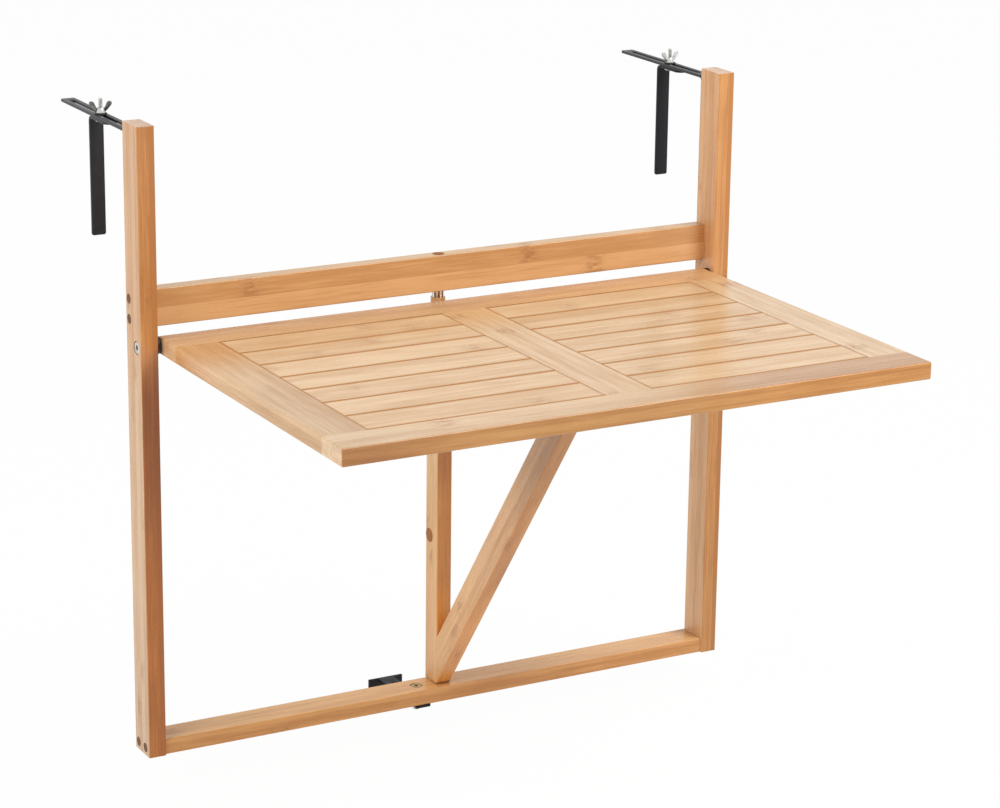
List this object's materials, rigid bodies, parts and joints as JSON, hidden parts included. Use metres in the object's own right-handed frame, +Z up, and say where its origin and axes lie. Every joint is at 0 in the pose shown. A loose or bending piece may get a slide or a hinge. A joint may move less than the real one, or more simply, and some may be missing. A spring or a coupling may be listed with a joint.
{
  "type": "folding balcony table",
  "caption": "Hanging balcony table of laminated bamboo: slatted top on a swinging gate leg, in an upright frame that clamps over a railing with slotted steel bars.",
  "frame": {"origin": "middle of the line where the two bars lie on the railing, at the bracket legs' rear faces", "axes": "+X to the right, +Y to the rear over the railing, +Z up"},
  "size_m": [0.6483, 0.5769, 0.6561],
  "materials": {
    "bamboo": "glossy varnish",
    "end_grain": "varnished end grain",
    "black_steel": "black powder coat",
    "zinc": "zinc plate",
    "dark_washer": "matt"
  },
  "bodies": {
    "frame": {"left_post": "bamboo", "right_post": "bamboo", "upper_rail": "bamboo", "lower_rail": "bamboo", "left_upper_dowels": "end_grain", "left_lower_dowels": "end_grain", "right_upper_dowels": "end_grain", "right_lower_dowels": "end_grain", "left_bracket": "black_steel", "right_bracket": "black_steel", "left_bracket_screws": "zinc", "right_bracket_screws": "zinc", "gate_foot_washer": "zinc", "spacer_bolt": "zinc", "spacer_washer": "zinc", "spacer_nut": "zinc"},
    "table_top": {"table_front_rail": "bamboo", "table_rear_rail": "bamboo", "left_stile": "bamboo", "centre_stile": "bamboo", "right_stile": "bamboo", "left_slat_1": "bamboo", "left_slat_2": "bamboo", "left_slat_3": "bamboo", "left_slat_4": "bamboo", "left_slat_5": "bamboo", "left_slat_6": "bamboo", "left_slat_7": "bamboo", "right_slat_1": "bamboo", "right_slat_2": "bamboo", "right_slat_3": "bamboo", "right_slat_4": "bamboo", "right_slat_5": "bamboo", "right_slat_6": "bamboo", "right_slat_7": "bamboo", "left_pivot_bolt": "zinc", "left_pivot_washer": "dark_washer", "left_pivot_insert": "zinc", "right_pivot_bolt": "zinc", "right_pivot_washer": "dark_washer", "right_pivot_insert": "zinc"},
    "gate": {"gate_post": "bamboo", "gate_top_rail": "bamboo", "gate_brace": "bamboo", "gate_upper_dowel": "bamboo", "gate_pivot_pin": "zinc", "gate_foot_pin": "zinc", "gate_side_plug": "end_grain"},
    "lower_spacer": {"lower_spacer": "black_steel"},
    "left_clamp": {"left_hook": "black_steel", "left_hook_bolt": "zinc", "left_hook_washer": "dark_washer"},
    "left_nut": {"left_wing_nut": "zinc"},
    "right_clamp": {"right_hook": "black_steel", "right_hook_bolt": "zinc", "right_hook_washer": "dark_washer"},
    "right_nut": {"right_wing_nut": "zinc"}
  },
  "joints": [
    {"name": "table_lift", "type": "hinge", "parent": "frame", "child": "table_top", "pos_m": [0, -0.0267, -0.1998], "axis": [-1, 0, 0], "range_deg": [0, 90]},
    {"name": "gate_swing", "type": "hinge", "parent": "frame", "child": "gate", "pos_m": [0.0024, -0.0101, -0.4], "axis": [0, 0, 1], "range_deg": [-90, 90]},
    {"name": "spacer_slide", "type": "slide", "parent": "frame", "child": "lower_spacer", "axis": [0, 1, 0], "range_m": [-0.048, 0.006]},
    {"name": "left_clamp_slide", "type": "slide", "parent": "frame", "child": "left_clamp", "axis": [0, 1, 0], "range_m": [-0.04, 0.072]},
    {"name": "left_nut_turn", "type": "hinge", "parent": "left_clamp", "child": "left_nut", "pos_m": [-0.31345, 0.072, 0.008], "axis": [0, 0, 1], "continuous": true},
    {"name": "right_clamp_slide", "type": "slide", "parent": "frame", "child": "right_clamp", "axis": [0, 1, 0], "range_m": [-0.04, 0.072]},
    {"name": "right_nut_turn", "type": "hinge", "parent": "right_clamp", "child": "right_nut", "pos_m": [0.31345, 0.072, 0.008], "axis": [0, 0, 1], "continuous": true}
  ]
}
